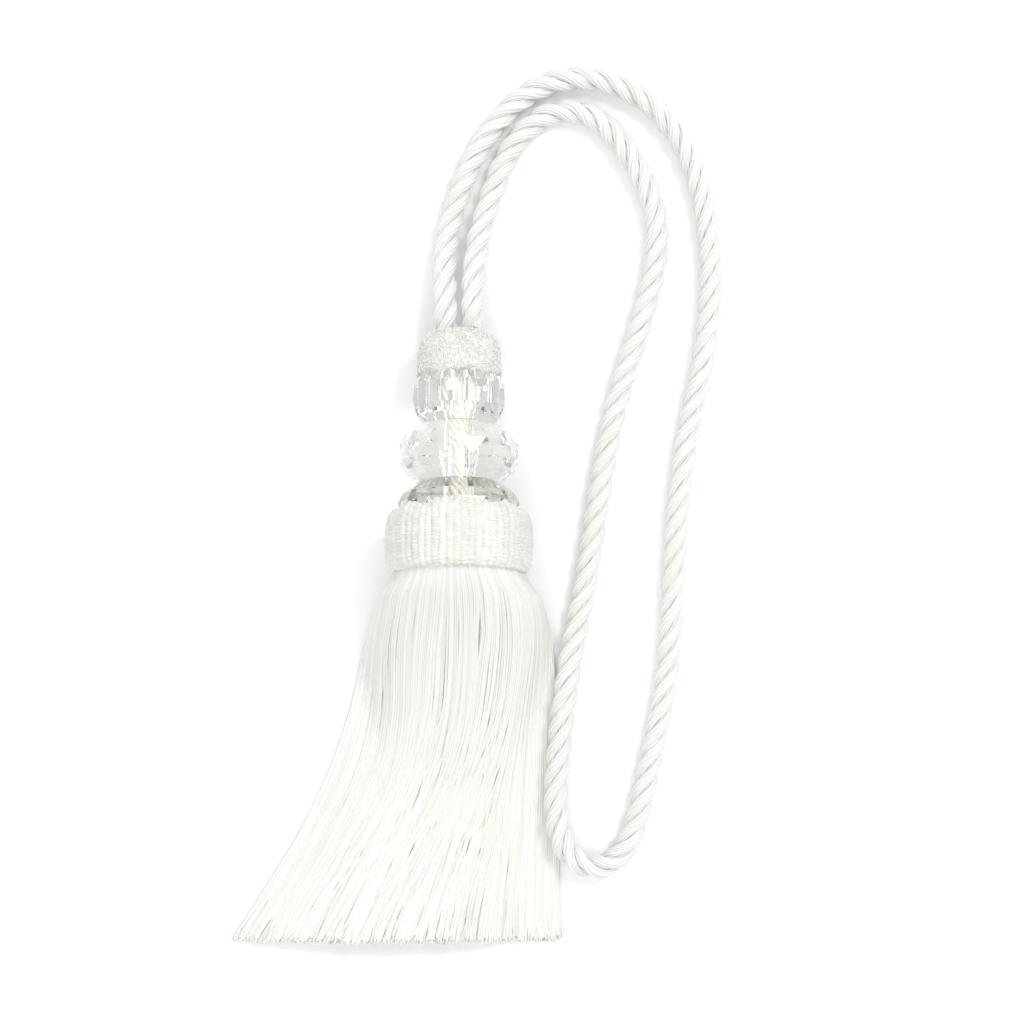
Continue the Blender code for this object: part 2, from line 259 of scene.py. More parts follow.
makeCamera()
makeTable()
makeSky()
for lampName in ("key", "strip", "fill"):
    makeLamp(lampName)
bpy.context.scene.view_settings.view_transform = "Standard"
print("camera, table and light are set")


# finish of every yarn: a tone of its own, cream clouds over many yarns, fine fibres along it
yarnFinish = {
    "cloudLow": 0.52,        # noise where a cream cloud begins, and where it is full
    "cloudHigh": 0.75,
    "sheenRoughness": 0.4,
    "ior": 1.53,             # cellulose
}


def yarnMaterial(name, look):  # cloud and fibre are sizes in mm, bump is the fibres' height in mm
    material = bpy.data.materials.new(name)
    material.use_nodes = True
    tree = material.node_tree
    shader = tree.nodes["Principled BSDF"]
    tone = addNode(tree, "ShaderNodeAttribute", attribute_name="tone")
    place = addNode(tree, "ShaderNodeTexCoord")
    cloud = addNode(tree, "ShaderNodeTexNoise", {
        "Vector": place.outputs["Object"], "Scale": 1 / (look["cloud"] * mm), "Detail": 2.0})
    byYarn = addNode(tree, "ShaderNodeMix", {
        0: tone.outputs["Fac"], 6: hexColour(look["shade"]), 7: hexColour(look["colour"])},
        data_type="RGBA")
    warm = addNode(tree, "ShaderNodeMapRange", {
        "Value": cloud.outputs[0], "From Min": yarnFinish["cloudLow"], "From Max": yarnFinish["cloudHigh"],
        "To Max": look["creamShare"]})
    colour = addNode(tree, "ShaderNodeMix", {
        0: warm.outputs[0], 6: byYarn.outputs[2], 7: hexColour(look["cream"])}, data_type="RGBA")
    fibre = addNode(tree, "ShaderNodeTexNoise", {
        "Vector": place.outputs["Object"], "Scale": 1 / (look["fibre"] * mm), "Detail": 3.0})
    bump = addNode(tree, "ShaderNodeBump", {
        "Height": fibre.outputs[0], "Distance": look["bump"] * mm, "Strength": 1.0})
    tree.links.new(colour.outputs[2], shader.inputs["Base Color"])
    tree.links.new(bump.outputs[0], shader.inputs["Normal"])
    shader.inputs["Roughness"].default_value = look["roughness"]
    shader.inputs["Sheen Weight"].default_value = look["sheen"]
    shader.inputs["Sheen Roughness"].default_value = yarnFinish["sheenRoughness"]
    shader.inputs["IOR"].default_value = yarnFinish["ior"]
    return material


# the cord: three strands of twisted rayon
cord = {
    "radius": 3.9,
    "lay": 22.6,             # one full turn of the strands
    "strands": 3,
    "strandReach": 2.08,     # strand centres off the cord's centre
    "strandRadius": 1.84,
    "step": 1.2,
    "routePoints": 4000,     # points that the route's length is measured over
    "fineYarns": 8,
    "thickYarn": 2.0,        # the bright yarn's share of width against a fine one
    "fineCorners": 4,
    "thickCorners": 6,
    "groove": 0.34,          # depth between yarns, as a share of the strand
    "yarnCrown": 0.6,        # the lower, the flatter the top of a yarn
    "thickProud": 0.03,      # how far the bright yarn stands out, as a share of the strand
    "firstYarn": 38.0,       # degrees round the strand
    "yarnTwist": -70.0,      # radians a metre that the yarns turn inside a strand, against the lay
    "unevenness": 0.035,
    "lumps": 180.0,          # to a metre
}
cordLook = {  # rayon twisted hard: white and silky, with a gleam along every yarn
    "colour": "#EFEFEC", "shade": "#E8E8E3", "cream": "#EDE9DE", "creamShare": 0.4, "cloud": 22.0,
    "roughness": 0.42, "sheen": 0.2, "fibre": 0.5, "bump": 0.05,
}
cordRoute = (
    # x, y, z of the centreline, from the collar round the outer run and the bight, and back
    (-4.15, 64.9, 12.4),
    (-4.6, 77.0, 10.4),
    (-4.6, 90.0, 6.4),
    (-2.6, 102.0, 4.1),
    (1.6, 115.0, 3.9),
    (8.6, 128.0, 3.9),
    (17.6, 138.2, 3.9),
    (28.6, 144.6, 3.9),
    (40.0, 146.2, 3.9),
    (53.5, 142.4, 3.9),
    (66.2, 132.5, 3.9),
    (74.5, 117.6, 3.9),
    (79.0, 97.8, 3.9),
    (79.6, 75.6, 3.9),
    (76.4, 51.7, 3.9),
    (71.6, 27.8, 3.9),
    (67.8, -14.0, 3.9),
    (64.8, -50.0, 3.9),
    (61.6, -66.0, 3.9),
    (58.2, -81.5, 4.0),
    (55.0, -93.2, 4.4),
    (50.4, -101.3, 4.9),
    (43.0, -104.6, 5.5),
    (35.4, -101.3, 6.0),
    (31.3, -92.6, 6.4),
    (30.9, -74.0, 6.4),
    (32.8, -54.8, 6.2),
    (35.7, -36.4, 4.8),
    (39.4, -16.7, 3.9),
    (50.1, 43.7, 3.9),
    (59.6, 76.0, 3.9),
    (62.7, 94.7, 3.9),
    (59.9, 110.4, 3.9),
    (52.6, 123.4, 3.9),
    (42.7, 133.4, 3.9),
    (31.2, 135.4, 3.9),
    (19.8, 128.2, 3.9),
    (10.3, 109.4, 4.0),
    (5.3, 90.0, 6.6),
    (4.15, 64.9, 12.4),
)


def evenRoute(spacing):
    points = np.array(cordRoute)
    knots = np.concatenate([[0], np.cumsum(np.linalg.norm(np.diff(points, axis=0), axis=1))])
    curve = splineThrough(knots, points)(np.linspace(0, knots[-1], cord["routePoints"]))
    curve[:, 2] = np.maximum(curve[:, 2], cord["radius"])
    travel = np.concatenate([[0], np.cumsum(np.linalg.norm(np.diff(curve, axis=0), axis=1))])
    even = np.linspace(0, travel[-1], round(travel[-1] / spacing) + 1)
    return np.stack([np.interp(even, travel, curve[:, k]) for k in range(3)], axis=1), travel[-1]


def strandOutline():  # round a strand: fine yarns side by side and one thick bright one
    widths = [1.0] * cord["fineYarns"] + [cord["thickYarn"]]
    turn = math.tau / sum(widths)
    points = []
    angle = math.radians(cord["firstYarn"])
    for width in widths:
        thick = width > 1
        corners = cord["thickCorners"] if thick else cord["fineCorners"]
        for k in range(corners):
            share = k / corners
            dip = 1 - math.sin(math.pi * share) ** cord["yarnCrown"]
            radius = 1 - cord["groove"] * dip + cord["thickProud"] * thick * (1 - dip)
            around = angle + share * width * turn
            points.append((radius * math.cos(around), radius * math.sin(around), 0))
        angle += width * turn
    mesh = bpy.data.meshes.new("strandOutline")
    mesh.from_pydata(points, [(k, (k + 1) % len(points)) for k in range(len(points))], [])
    return bpy.data.objects.new("strandOutline", mesh)


def cordTree():
    tree, given = startTree("cordStrands", [
        ("Strands", "NodeSocketInt", 3), ("Lay", "NodeSocketFloat", 0.019),
        ("Reach", "NodeSocketFloat", 0.002), ("Strand radius", "NodeSocketFloat", 0.0019),
        ("Step", "NodeSocketFloat", 0.0012), ("Unevenness", "NodeSocketFloat", 0.03),
        ("Lumps", "NodeSocketFloat", 180.0), ("Yarn twist", "NodeSocketFloat", 0.0),
        ("Outline", "NodeSocketObject", None), ("Material", "NodeSocketMaterial", None)])
    line = addNode(tree, "GeometryNodeMeshToCurve", {"Mesh": given["Geometry"]})
    even = addNode(tree, "GeometryNodeResampleCurve", {
        "Curve": line.outputs[0], "Length": given["Step"]}, mode="LENGTH")
    copies = addNode(tree, "GeometryNodeDuplicateElements", {
        "Geometry": even.outputs[0], "Amount": given["Strands"]}, domain="SPLINE")
    # every strand goes off the centreline, along a normal that turns with the lay
    travel = addNode(tree, "GeometryNodeSplineParameter")
    turns = addNode(tree, "ShaderNodeMath", {
        0: travel.outputs["Length"], 1: given["Lay"]}, operation="DIVIDE")
    phase = addNode(tree, "ShaderNodeMath", {
        0: copies.outputs["Duplicate Index"], 1: given["Strands"]}, operation="DIVIDE")
    both = addNode(tree, "ShaderNodeMath", {0: turns.outputs[0], 1: phase.outputs[0]}, operation="ADD")
    angle = addNode(tree, "ShaderNodeMath", {0: both.outputs[0], 1: math.tau}, operation="MULTIPLY")
    normal = addNode(tree, "GeometryNodeInputNormal")
    tangent = addNode(tree, "GeometryNodeInputTangent")
    outward = addNode(tree, "ShaderNodeVectorRotate", {
        "Vector": normal.outputs[0], "Axis": tangent.outputs[0], "Angle": angle.outputs[0]},
        rotation_type="AXIS_ANGLE")
    kept = addNode(tree, "GeometryNodeStoreNamedAttribute", {
        "Geometry": copies.outputs[0], "Name": "outward"}, data_type="FLOAT_VECTOR", domain="POINT")
    tree.links.new(outward.outputs[0], kept.inputs["Value"])
    stored = addNode(tree, "GeometryNodeInputNamedAttribute", {"Name": "outward"}, data_type="FLOAT_VECTOR")
    reach = addNode(tree, "ShaderNodeVectorMath", {0: stored.outputs[0]}, operation="SCALE")
    tree.links.new(given["Reach"], reach.inputs["Scale"])
    moved = addNode(tree, "GeometryNodeSetPosition", {
        "Geometry": kept.outputs[0], "Offset": reach.outputs[0]})
    # its outline turns with it, and back by the twist of its yarns
    facing = addNode(tree, "GeometryNodeSetCurveNormal", {
        "Curve": moved.outputs[0], "Normal": stored.outputs[0]}, mode="FREE")
    twist = addNode(tree, "ShaderNodeMath", {
        0: travel.outputs["Length"], 1: given["Yarn twist"]}, operation="MULTIPLY")
    turned = addNode(tree, "GeometryNodeSetCurveTilt", {
        "Curve": facing.outputs[0], "Tilt": twist.outputs[0]})
    place = addNode(tree, "GeometryNodeInputPosition")
    lumps = addNode(tree, "ShaderNodeTexNoise", {
        "Vector": place.outputs[0], "Scale": given["Lumps"], "Detail": 1.0})
    size = addNode(tree, "ShaderNodeMath", {0: lumps.outputs[0], 1: -0.5}, operation="ADD")
    size = addNode(tree, "ShaderNodeMath", {
        0: size.outputs[0], 1: given["Unevenness"], 2: 1.0}, operation="MULTIPLY_ADD")
    size = addNode(tree, "ShaderNodeMath", {
        0: size.outputs[0], 1: given["Strand radius"]}, operation="MULTIPLY")
    outline = addNode(tree, "GeometryNodeObjectInfo", {"Object": given["Outline"]})
    section = addNode(tree, "GeometryNodeMeshToCurve", {"Mesh": outline.outputs["Geometry"]})
    swept = addNode(tree, "GeometryNodeCurveToMesh", {
        "Curve": turned.outputs[0], "Profile Curve": section.outputs[0], "Scale": size.outputs[0],
        "Fill Caps": True})
    endTree(tree, swept.outputs[0], given["Material"])
    return tree


def makeCord():
    route, length = evenRoute(cord["step"])
    outline = strandOutline()
    piece = grow("cordStrands", pathMesh("cordLine", [route]), cordTree(), {
        "Strands": cord["strands"],
        "Lay": cord["lay"] * mm,
        "Reach": cord["strandReach"] * mm,
        "Strand radius": cord["strandRadius"] * mm,
        "Step": cord["step"] * mm,
        "Unevenness": cord["unevenness"],
        "Lumps": cord["lumps"],
        "Yarn twist": cord["yarnTwist"],
        "Outline": outline,
        "Material": yarnMaterial("twistedRayonCord", cordLook),
    })
    bpy.data.objects.remove(outline, do_unlink=True)
    restOnTable(piece)
    hangOn(piece, "cord_rayon", "rope")
    print("cord is", round(length), "mm long")


makeCord()

# the head: everything threaded on one axis that slopes down towards the collar
head = {
    "height": 22.2,          # of the axis over the table, at the ruff
    "tilt": 8.3,             # degrees
    "lowBead": 8.0,          # middles of the two rondelles along the axis
    "midBead": 26.48,
    "topBead": 35.78,        # lower ends of the fluted bead and the collar
    "collar": 52.88,
}
headSlope = Matrix.Rotation(-math.radians(head["tilt"]), 4, "X")
headPlace = Matrix.Translation((0, 0, head["height"])) @ headSlope


def headPoint(place, radius, angle):
    return headPlace @ Vector((radius * math.cos(angle), place, radius * math.sin(angle)))


def headRing(place, radius, sides, turn=0.0, valley=None):
    step = math.tau / sides
    start = -math.pi / 2 + step / 2
    radii = [radius, radius if valley is None else valley]
    return [headPoint(place, radii[k % 2], start + step * (k + turn)) for k in range(sides)]


def ringSkin(low, high, sides, lead):  # quads between two rings, or triangles where one is turned ahead
    faces = []
    for k in range(sides):
        after = (k + 1) % sides
        if lead > 0:
            faces += [(low + k, low + after, high + k), (high + k, low + after, high + after)]
        elif lead < 0:
            faces += [(low + k, low + after, high + after), (low + k, high + after, high + k)]
        else:
            faces.append((low + k, low + after, high + after, high + k))
    return faces


def turnedPiece(name, rows, sides, material, crease, closed=True):
    # rows: place along the head, radius, turn in sides, and the radius of valleys between ridges
    points = []
    faces = []
    for k, row in enumerate(rows):
        points += [point * mm for point in headRing(row[0], row[1], sides, *row[2:])]
        following = (k + 1) % len(rows)
        if following or closed:
            faces += ringSkin(k * sides, following * sides, sides, rows[following][2] - row[2])
    if not closed:
        faces.append(tuple(range(sides))[::-1])
        faces.append(tuple(range(len(points) - sides, len(points))))
    mesh = bpy.data.meshes.new(name)
    mesh.from_pydata(points, [], [face[::-1] for face in faces])
    mesh.shade_smooth()
    mesh.set_sharp_from_angle(angle=math.radians(crease))
    mesh.materials.append(material)
    piece = bpy.data.objects.new(name, mesh)
    bpy.context.collection.objects.link(piece)
    return piece


# clear beads
bead = {
    "sides": 13,
    "radius": 18.7,
    "half": 9.0,             # half length
    "belt": 2.7,             # half length of the belt of triangles
    "rim": 12.9,             # radius where the dome meets the flat end
    "shoulder": (5.7, 17.1),     # place and radius of the edge between the two rows of facets
    "bore": 3.5,
    "edge": 0.16,            # softened edge of a facet
    "edgeSteps": 2,
    "edgeAngle": 6.0,        # degrees between faces from which their edge is softened
    "crease": 180.0,         # degrees, so no edge is sharp
    "lowScale": 1.02,
    "acrylic": "#FDFDFC",
    "roughness": 0.02,
    "ior": 1.49,
    "straightFrom": 4.5,     # bounces after which a ray goes straight on, so that no facet turns black
    "lowThroughShade": "#FAFAF8",    # painted shade: tint of what shows through each bead and of the light through it, darker on the middle and top beads, lighter on the low one in the ruff's shade
    "midThroughShade": "#E6E5E3",
    "topThroughShade": "#EAE9E7",
    "fluteSides": 28,
}
fluteRows = (
    # place along the bead, radius of its ridges, radius of its valleys
    (0.0, 11.6, 11.6),
    (2.4, 12.9, 12.7),
    (5.6, 14.2, 12.9),
    (8.6, 14.5, 13.2),
    (12.6, 14.2, 12.9),
    (15.2, 12.8, 12.5),
    (16.8, 11.5, 11.5),
)


def clearMaterial(name, throughShade):  # moulded and polished acrylic: water clear, bright edges, bent light
    material = bpy.data.materials.new(name)
    material.use_nodes = True
    tree = material.node_tree
    shader = tree.nodes["Principled BSDF"]
    shader.inputs["Base Color"].default_value = hexColour(bead["acrylic"])
    shader.inputs["Roughness"].default_value = bead["roughness"]
    shader.inputs["IOR"].default_value = bead["ior"]
    shader.inputs["Transmission Weight"].default_value = 1.0
    rays = addNode(tree, "ShaderNodeLightPath")
    # what shows straight through a bead, and the light that passes through it, take that bead's tint:
    # painted shade
    through = addNode(tree, "ShaderNodeBsdfTransparent", {0: hexColour(throughShade)})
    deep = addNode(tree, "ShaderNodeMath", {
        0: rays.outputs["Ray Depth"], 1: bead["straightFrom"]}, operation="GREATER_THAN")
    either = addNode(tree, "ShaderNodeMath", {
        0: rays.outputs["Is Shadow Ray"], 1: deep.outputs[0]}, operation="MAXIMUM")
    both = addNode(tree, "ShaderNodeMixShader", {
        0: either.outputs[0], 1: shader.outputs[0], 2: through.outputs[0]})
    tree.links.new(both.outputs[0], tree.nodes["Material Output"].inputs[0])
    return material


def rondelleRows(centre, scale):
    side = ((bead["belt"], bead["radius"]), bead["shoulder"], (bead["half"], bead["rim"]))
    low = [(centre - place * scale, radius * scale, 0.5) for place, radius in side]
    high = [(centre + place * scale, radius * scale, 0.0) for place, radius in side]
    return low[::-1] + high


def softenEdges(piece):  # tumbled moulding: a narrow round on every edge, the facets stay flat
    softEdge = piece.modifiers.new("softEdge", "BEVEL")
    softEdge.width = bead["edge"] * mm
    softEdge.segments = bead["edgeSteps"]
    softEdge.limit_method = "ANGLE"
    softEdge.angle_limit = math.radians(bead["edgeAngle"])
    softEdge.harden_normals = True
    graph = bpy.context.evaluated_depsgraph_get()
    mesh = bpy.data.meshes.new_from_object(piece.evaluated_get(graph), depsgraph=graph)
    piece.modifiers.clear()
    piece.data = mesh


def makeBead(name, rows, sides, throughShade, node):  # rows run along the outside, the bore closes the loop
    low, high = rows[0], rows[-1]
    loop = rows + [(high[0], bead["bore"], high[2]), (low[0], bead["bore"], low[2])]
    material = clearMaterial(name.replace("bead", "clearAcrylic"), throughShade)
    piece = turnedPiece(name, loop, sides, material, bead["crease"])
    softenEdges(piece)
    restOnTable(piece)
    hangOn(piece, "clear_acrylic", node)


def makeBeads():
    lowRows = rondelleRows(head["lowBead"], bead["lowScale"])
    makeBead("beadLow", lowRows, bead["sides"], bead["lowThroughShade"], "bead_low")
    makeBead("beadMid", rondelleRows(head["midBead"], 1.0), bead["sides"], bead["midThroughShade"], "bead_mid")
    flutes = [(head["topBead"] + place, ridge, 0.5, valley) for place, ridge, valley in fluteRows]
    makeBead("beadTop", flutes, bead["fluteSides"], bead["topThroughShade"], "bead_top")
    print("beads are cut")


# one tree sweeps every kind of yarn along its lines
def yarnTree():
    tree, given = startTree("sweptYarn", [
        ("Yarn radius", "NodeSocketFloat", 0.0003), ("Sides", "NodeSocketInt", 4),
        ("Wrap pitch", "NodeSocketFloat", 0.001), ("Wrap height", "NodeSocketFloat", 0.0),
        ("Wrap unevenness", "NodeSocketFloat", 0.5), ("Wrap lumps", "NodeSocketFloat", 320.0),
        ("Wander", "NodeSocketFloat", 0.0), ("Wander size", "NodeSocketFloat", 0.02),
        ("Seed", "NodeSocketInt", 1), ("Material", "NodeSocketMaterial", None)])
    line = addNode(tree, "GeometryNodeMeshToCurve", {"Mesh": given["Geometry"]})
    # lines wander off by more towards their far ends
    travel = addNode(tree, "GeometryNodeSplineParameter")
    place = addNode(tree, "GeometryNodeInputPosition")
    scale = addNode(tree, "ShaderNodeMath", {0: 1.0, 1: given["Wander size"]}, operation="DIVIDE")
    swirl = addNode(tree, "ShaderNodeTexNoise", {
        "Vector": place.outputs[0], "W": given["Seed"], "Scale": scale.outputs[0], "Detail": 1.0},
        noise_dimensions="4D")
    centred = addNode(tree, "ShaderNodeVectorMath", {
        0: swirl.outputs["Color"], 1: (-0.5, -0.5, -0.5)}, operation="ADD")
    grown = addNode(tree, "ShaderNodeMath", {
        0: travel.outputs["Factor"], 1: given["Wander"]}, operation="MULTIPLY")
    push = addNode(tree, "ShaderNodeVectorMath", {0: centred.outputs[0]}, operation="SCALE")
    tree.links.new(grown.outputs[0], push.inputs["Scale"])
    moved = addNode(tree, "GeometryNodeSetPosition", {
        "Geometry": line.outputs[0], "Offset": push.outputs[0]})
    # a tube along each line, which knows how far along and how far round each of its points is
    along = addNode(tree, "GeometryNodeStoreNamedAttribute", {
        "Geometry": moved.outputs[0], "Name": "along", "Value": travel.outputs["Length"]},
        data_type="FLOAT", domain="POINT")
    girth = addNode(tree, "GeometryNodeInputNamedAttribute", {"Name": "girth"}, data_type="FLOAT")
    size = addNode(tree, "ShaderNodeMath", {
        0: girth.outputs[0], 1: given["Yarn radius"]}, operation="MULTIPLY")
    circle = addNode(tree, "GeometryNodeCurvePrimitiveCircle", {
        "Resolution": given["Sides"], "Radius": 1.0})
    number = addNode(tree, "GeometryNodeInputIndex")
    share = addNode(tree, "ShaderNodeMath", {
        0: number.outputs[0], 1: given["Sides"]}, operation="DIVIDE")
    around = addNode(tree, "GeometryNodeStoreNamedAttribute", {
        "Geometry": circle.outputs[0], "Name": "around", "Value": share.outputs[0]},
        data_type="FLOAT", domain="POINT")
    swept = addNode(tree, "GeometryNodeCurveToMesh", {
        "Curve": along.outputs[0], "Profile Curve": around.outputs[0], "Scale": size.outputs[0],
        "Fill Caps": True})
    # ridges of a thread wrapped round it
    far = addNode(tree, "GeometryNodeInputNamedAttribute", {"Name": "along"}, data_type="FLOAT")
    side = addNode(tree, "GeometryNodeInputNamedAttribute", {"Name": "around"}, data_type="FLOAT")
    wraps = addNode(tree, "ShaderNodeMath", {
        0: far.outputs[0], 1: given["Wrap pitch"]}, operation="DIVIDE")
    turned = addNode(tree, "ShaderNodeMath", {0: wraps.outputs[0], 1: side.outputs[0]}, operation="ADD")
    spot = addNode(tree, "GeometryNodeInputPosition")
    chaos = addNode(tree, "ShaderNodeTexNoise", {
        "Vector": spot.outputs[0], "Scale": given["Wrap lumps"], "Detail": 1.0})
    slip = addNode(tree, "ShaderNodeMath", {
        0: chaos.outputs[0], 1: given["Wrap unevenness"], 2: turned.outputs[0]},
        operation="MULTIPLY_ADD")
    angle = addNode(tree, "ShaderNodeMath", {0: slip.outputs[0], 1: math.pi}, operation="MULTIPLY")
    wave = addNode(tree, "ShaderNodeMath", {0: angle.outputs[0]}, operation="SINE")
    thread = addNode(tree, "ShaderNodeMath", {0: wave.outputs[0]}, operation="ABSOLUTE")
    rise = addNode(tree, "ShaderNodeMath", {
        0: thread.outputs[0], 1: given["Wrap height"]}, operation="MULTIPLY")
    normal = addNode(tree, "GeometryNodeInputNormal")
    ridge = addNode(tree, "ShaderNodeVectorMath", {0: normal.outputs[0]}, operation="SCALE")
    tree.links.new(rise.outputs[0], ridge.inputs["Scale"])
    wrapped = addNode(tree, "GeometryNodeSetPosition", {
        "Geometry": swept.outputs[0], "Offset": ridge.outputs[0]})
    endTree(tree, wrapped.outputs[0], given["Material"])
    return tree


sweptYarn = yarnTree()


# cotton core inside the beads
core = {
    "yarns": 7,              # one straight in the middle and six round it
    "reach": 1.95,
    "yarnRadius": 1.0,
    "lay": 24.0,
    "steps": 60,
    "sides": 8,
    "short": 0.3,            # gap below the collar
    "seed": 3,
}
coreLook = {  # cotton roving: off-white and dull, with a fine nap
    "colour": "#FBFAF5", "shade": "#F3F1E8", "cream": "#F2EFE0", "creamShare": 0.5, "cloud": 5.0,
    "roughness": 0.8, "sheen": 0.3, "fibre": 0.4, "bump": 0.15,
}


def makeCore():
    chance = random.Random(core["seed"])
    start = head["lowBead"] - bead["half"] * bead["lowScale"]
    end = head["collar"] - core["short"]
    paths = []
    tones = []
    for yarn in range(core["yarns"]):
        reach = core["reach"] if yarn else 0.0
        path = []
        for k in range(core["steps"] + 1):
            place = mix(start, end, k / core["steps"])
            turn = math.tau * (yarn / (core["yarns"] - 1) + place / core["lay"])
            path.append(headPoint(place, reach, turn))
        paths.append(path)
        tones.append([chance.random()] * len(path))
    piece = grow("coreYarns", pathMesh("coreLines", paths, tones=tones), sweptYarn, {
        "Yarn radius": core["yarnRadius"] * mm, "Sides": core["sides"],
        "Material": yarnMaterial("cottonRoving", coreLook)})
    hangOn(piece, "core_cotton", "core")
    print("core is laid")


# looped gimp collar
collar = {
    "sides": 72,
    "crease": 60.0,          # degrees from which an edge is sharp
    "loops": 2.3,            # loops to a square millimetre
    "loopReach": 0.46,
    "loopYarn": 0.17,
    "loopCorners": 6,
    "yarnCorners": 3,
    "loopTall": 1.15,        # height against width
    "loopTilt": 0.7,         # radians to either side at most
    "loopSpin": 3.14,        # half a turn either way
    "loopSizes": (0.7, 1.25),
    "seed": 5,
    "rimDrop": 0.7,          # unevenness of the lower rim over the top bead
    "rimHeight": 4.0,        # over which it fades out
    "rimWaves": ((5, 1.2, 0.6), (11, 0.4, 0.4)),     # waves round the rim, their start and share
}
collarRows = (
    # place along the collar, radius
    (0.1, 4.0),
    (0.0, 11.9),
    (-1.2, 12.8),
    (-1.1, 13.1),
    (0.2, 13.1),
    (1.8, 12.9),
    (4.0, 12.8),
    (6.4, 12.6),
    (8.4, 12.1),
    (9.9, 11.4),
    (11.0, 10.3),
    (11.7, 9.1),
    (12.0, 8.2),
    (12.05, 4.0),
)
collarLook = {  # looped gimp: bright fuzz without gloss
    "colour": "#FFFFFC", "shade": "#FAF9F4", "cream": "#F9F3E8", "creamShare": 0.6, "cloud": 6.0,
    "roughness": 0.6, "sheen": 0.4, "fibre": 0.35, "bump": 0.2,
}


def loopTree():
    tree, given = startTree("scatteredLoops", [
        ("Density", "NodeSocketFloat", 400000.0), ("Loop reach", "NodeSocketFloat", 0.0008),
        ("Loop yarn", "NodeSocketFloat", 0.0002), ("Seed", "NodeSocketInt", 1),
        ("Material", "NodeSocketMaterial", None)])
    points = addNode(tree, "GeometryNodeDistributePointsOnFaces", {
        "Mesh": given["Geometry"], "Density": given["Density"], "Seed": given["Seed"]})
    ring = addNode(tree, "GeometryNodeCurvePrimitiveCircle", {
        "Resolution": collar["loopCorners"], "Radius": given["Loop reach"]})
    yarn = addNode(tree, "GeometryNodeCurvePrimitiveCircle", {
        "Resolution": collar["yarnCorners"], "Radius": given["Loop yarn"]})
    loop = addNode(tree, "GeometryNodeCurveToMesh", {
        "Curve": ring.outputs[0], "Profile Curve": yarn.outputs[0]})
    upright = addNode(tree, "GeometryNodeTransform", {
        "Geometry": loop.outputs[0], "Rotation": (math.pi / 2, 0, 0),
        "Scale": (1.0, 1.0, collar["loopTall"])})
    # every loop leans, turns and grows by chance, and has one tone
    lean, turn = collar["loopTilt"], collar["loopSpin"]
    spin = addNode(tree, "FunctionNodeRandomValue", {
        "Min": (-lean, -lean, -turn), "Max": (lean, lean, turn), "Seed": given["Seed"]},
        data_type="FLOAT_VECTOR")
    twist = addNode(tree, "FunctionNodeEulerToRotation", {0: spin.outputs[0]})
    rotation = addNode(tree, "FunctionNodeRotateRotation", {
        "Rotation": points.outputs["Rotation"], "Rotate By": twist.outputs[0]}, rotation_space="LOCAL")
    least, greatest = collar["loopSizes"]
    size = addNode(tree, "FunctionNodeRandomValue", {
        2: least, 3: greatest, "Seed": given["Seed"]}, data_type="FLOAT")
    loops = addNode(tree, "GeometryNodeInstanceOnPoints", {
        "Points": points.outputs[0], "Instance": upright.outputs[0],
        "Rotation": rotation.outputs[0], "Scale": size.outputs[1]})
    tone = addNode(tree, "FunctionNodeRandomValue", {
        2: 0.0, 3: 1.0, "Seed": given["Seed"]}, data_type="FLOAT")
    toned = addNode(tree, "GeometryNodeStoreNamedAttribute", {
        "Geometry": loops.outputs[0], "Name": "tone", "Value": tone.outputs[1]},
        data_type="FLOAT", domain="INSTANCE")
    both = addNode(tree, "GeometryNodeJoinGeometry", {0: toned.outputs[0]})
    tree.links.new(given["Geometry"], both.inputs[0])
    endTree(tree, both.outputs[0], given["Material"])
    return tree


def unevenRim(mesh):  # the lower rim hangs over the top bead by more in some places
    back = headPlace.inverted()
    for vertex in mesh.vertices:
        spot = back @ (vertex.co / mm)
        angle = math.atan2(spot.z, spot.x)
        low = 1 - ease((spot.y - head["collar"]) / collar["rimHeight"])
        wave = sum(part * math.sin(count * angle + start) for count, start, part in collar["rimWaves"])
        spot.y += collar["rimDrop"] * low * wave
        vertex.co = (headPlace @ spot) * mm


def makeCollar():
    material = yarnMaterial("loopedGimp", collarLook)
    rows = [(head["collar"] + place, radius, 0.0) for place, radius in collarRows]
    body = turnedPiece("collarBody", rows, collar["sides"], material, collar["crease"], closed=False)
    unevenRim(body.data)
    piece = grow("collarLoops", body, loopTree(), {
        "Density": collar["loops"] / mm**2,
        "Loop reach": collar["loopReach"] * mm,
        "Loop yarn": collar["loopYarn"] * mm,
        "Seed": collar["seed"],
        "Material": material,
    })
    restOnTable(piece)
    hangOn(piece, "collar_gimp", "collar")
    print("collar is looped")


# ruff of wrapped gimp columns
ruff = {
    "columns": 60,
    "columnRadius": 1.62,
    "wrapPitch": 0.95,
    "wrapHeight": 0.5,
    "wrapUneven": 2.4,
    "stepsPerWrap": 6,
    "sides": 8,
    "sway": 0.3,             # sideways unevenness of a column
    "scallop": 0.8,          # unevenness of the top edge
    "waves": 9,              # scallops round it
    "sideDrop": 1.8,         # how much lower the top edge is at the sides
    "girths": (0.96, 1.05),
    "rootGirth": 0.6,        # over the first wrap
    "tipGirth": 0.6,
    "tipWraps": 3,           # over which a column thins at its tip
    "seed": 21,
}
ruffLine = (
    # place along the head, radius of a column's centre, from its lower end over the top edge
    (-9.9, 18.8),
    (-9.0, 20.2),
    (-5.0, 21.1),
    (-1.0, 21.3),
    (3.0, 21.1),
    (6.0, 20.6),
    (8.0, 19.9),
    (9.3, 19.3),
)
ruffLook = {  # gimp wrapped in rayon: white, with small gleams from turn to turn
    "colour": "#F0F0EC", "shade": "#E8E7E1", "cream": "#EEE8DA", "creamShare": 0.6, "cloud": 9.0,
    "roughness": 0.45, "sheen": 0.3, "fibre": 0.3, "bump": 0.08,
}


